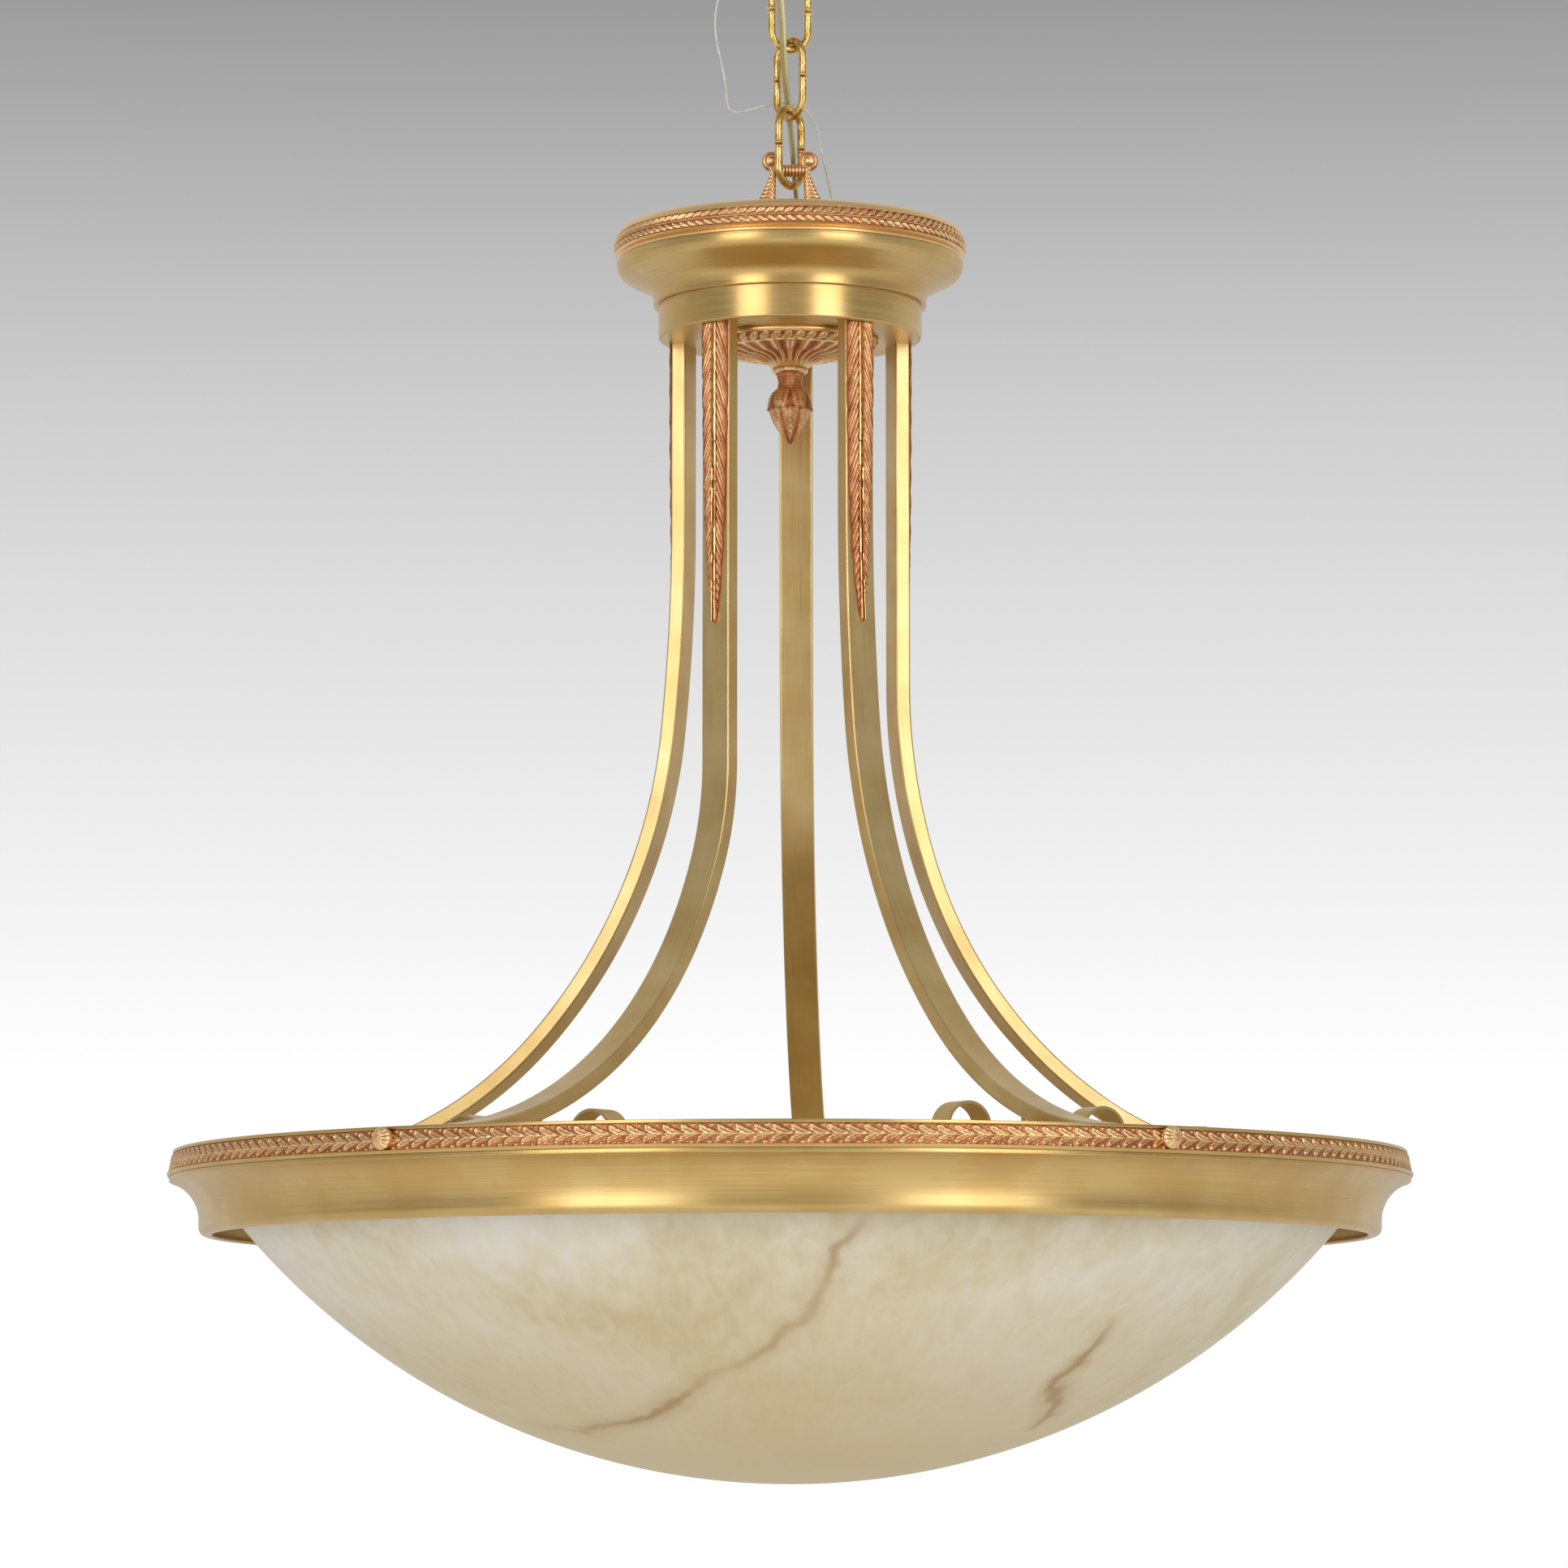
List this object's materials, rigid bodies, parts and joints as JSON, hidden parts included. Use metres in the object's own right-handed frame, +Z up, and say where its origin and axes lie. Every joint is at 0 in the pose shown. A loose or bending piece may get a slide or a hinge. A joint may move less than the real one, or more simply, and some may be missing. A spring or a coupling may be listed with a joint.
{
  "type": "alabaster bowl pendant",
  "caption": "Hanging ceiling light: a shallow alabaster bowl in a moulded brass rim, hung by flared flat arms from a turned brass crown on a short chain.",
  "frame": {"origin": "middle of the ceiling fitting on the ceiling's surface", "axes": "+Z up, -Y towards the viewer of the picture, +X to the viewer's right"},
  "size_m": [0.8129, 0.8176, 1.0753],
  "materials": {
    "satin_brass": "satin lacquered",
    "cast_brass": "polished casting, aged",
    "patinated_brass": "reddish patina with rubbed high spots",
    "zinc_steel": "zinc plated",
    "insulator": "matte",
    "alabaster": "honed stone, softly translucent",
    "lamp_glass": "frosted",
    "gasket_rubber": "matte",
    "cord_sleeve": "clear gold insulation",
    "wire_sleeve": "pale insulation"
  },
  "bodies": {
    "ceiling_fitting": {"ceiling_canopy": "satin_brass", "canopy_crossbar": "zinc_steel", "canopy_nipple": "zinc_steel", "canopy_nuts": "zinc_steel", "loop_collar": "cast_brass", "canopy_loop": "cast_brass", "supply_cord_1": "cord_sleeve", "earth_wire_1": "wire_sleeve"},
    "upper_link": {"chain_link_top": "cast_brass", "supply_cord_2": "cord_sleeve", "earth_wire_2": "wire_sleeve"},
    "middle_link": {"chain_link_middle": "cast_brass", "supply_cord_3": "cord_sleeve", "earth_wire_3": "wire_sleeve"},
    "lower_link": {"chain_link_bottom": "cast_brass", "supply_cord_4": "cord_sleeve", "earth_wire_4": "wire_sleeve"},
    "pendant": {"acorn": "patinated_brass", "arm_1": "satin_brass", "arm_2": "satin_brass", "arm_3": "satin_brass", "arm_4": "satin_brass", "arm_5": "satin_brass", "arm_leaf_1": "patinated_brass", "arm_leaf_2": "patinated_brass", "arm_leaf_3": "patinated_brass", "arm_leaf_4": "patinated_brass", "arm_leaf_5": "patinated_brass", "arm_plugs": "satin_brass", "arm_top_screws": "zinc_steel", "bowl": "alabaster", "bowl_gasket": "gasket_rubber", "bowl_seat_ring": "satin_brass", "bulb_bases": "satin_brass", "bulb_globes": "lamp_glass", "cord_bushing": "insulator", "crown_band": "satin_brass", "crown_base_plate": "satin_brass", "crown_cavetto": "satin_brass", "crown_nuts": "zinc_steel", "crown_ornament_ring": "patinated_brass", "crown_top_plate": "satin_brass", "crown_tube": "zinc_steel", "finial_neck": "patinated_brass", "ground_screw": "zinc_steel", "lamp_brackets": "satin_brass", "lamp_post_nuts": "zinc_steel", "lamp_posts": "satin_brass", "lampholder_inserts": "insulator", "lampholder_shells": "satin_brass", "rim_knobs": "patinated_brass", "rim_ornament_band": "patinated_brass", "rim_skirt": "satin_brass", "rim_studs": "zinc_steel", "rim_top_ring": "satin_brass", "rosette": "patinated_brass", "seat_screws": "zinc_steel", "terminal_block": "insulator", "yoke": "patinated_brass"}
  },
  "joints": [
    {"name": "loop_swing", "type": "hinge", "parent": "ceiling_fitting", "child": "upper_link", "pos_m": [0, 0, -0.0751], "axis": [-0.2079, 0.9781, 0], "range_deg": [-12, 12], "deforming": ["supply_cord_1", "earth_wire_1"]},
    {"name": "upper_link_swing", "type": "hinge", "parent": "upper_link", "child": "middle_link", "pos_m": [0, 0, -0.1208], "axis": [0.9781, 0.2079, 0], "range_deg": [-12, 12], "deforming": ["supply_cord_2", "earth_wire_2"]},
    {"name": "middle_link_swing", "type": "hinge", "parent": "middle_link", "child": "lower_link", "pos_m": [0, 0, -0.167], "axis": [0.6947, -0.7193, 0], "range_deg": [-12, 12], "deforming": ["supply_cord_3", "earth_wire_3"]},
    {"name": "yoke_swing", "type": "hinge", "parent": "lower_link", "child": "pendant", "pos_m": [0, 0, -0.20585], "axis": [1, 0, 0], "range_deg": [-12, 12], "deforming": ["supply_cord_4", "earth_wire_4"]}
  ]
}
